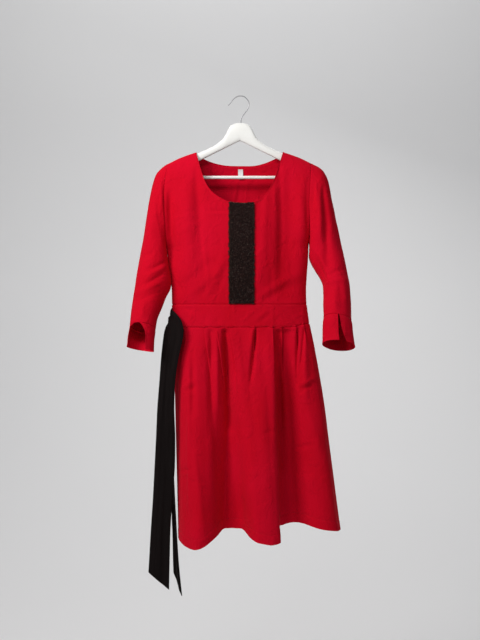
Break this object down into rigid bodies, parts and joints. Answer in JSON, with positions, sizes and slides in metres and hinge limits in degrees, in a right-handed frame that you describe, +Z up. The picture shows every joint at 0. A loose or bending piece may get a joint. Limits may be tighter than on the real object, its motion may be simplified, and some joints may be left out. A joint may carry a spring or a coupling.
{
  "type": "midi dress on a hanger",
  "caption": "Pleated knee-length dress with waistband, three-quarter cuffed sleeves, textured front panel and a side tie, hung on a flat wooden hanger.",
  "frame": {"origin": "inside top of the hook's bend, where a rail or a wall hook holds the hanger", "axes": "+Z up along the hung dress, -Y out of its front, +X to the wearer's left"},
  "size_m": [0.5801, 0.2132, 1.2897],
  "materials": {
    "red_cotton": "matt red cotton twill",
    "black_cotton": "matt black cotton",
    "black_boucle": "looped black boucle",
    "white_label": "blank woven label",
    "painted_wood": "satin off-white paint on wood",
    "hook_steel": "plain steel wire"
  },
  "bodies": {
    "root": {"bodice_front": "red_cotton", "bodice_back": "red_cotton", "waistband_front": "red_cotton", "waistband_back": "red_cotton", "skirt_front": "red_cotton", "skirt_back": "red_cotton", "sleeve_right": "red_cotton", "sleeve_left": "red_cotton", "cuff_right": "red_cotton", "cuff_left": "red_cotton", "front_panel": "black_boucle", "neck_label": "white_label", "tie_front": "black_cotton", "tie_back": "black_cotton", "hanger_body": "painted_wood", "hanger_bar": "painted_wood", "hanger_hook": "hook_steel"}
  },
  "joints": []
}
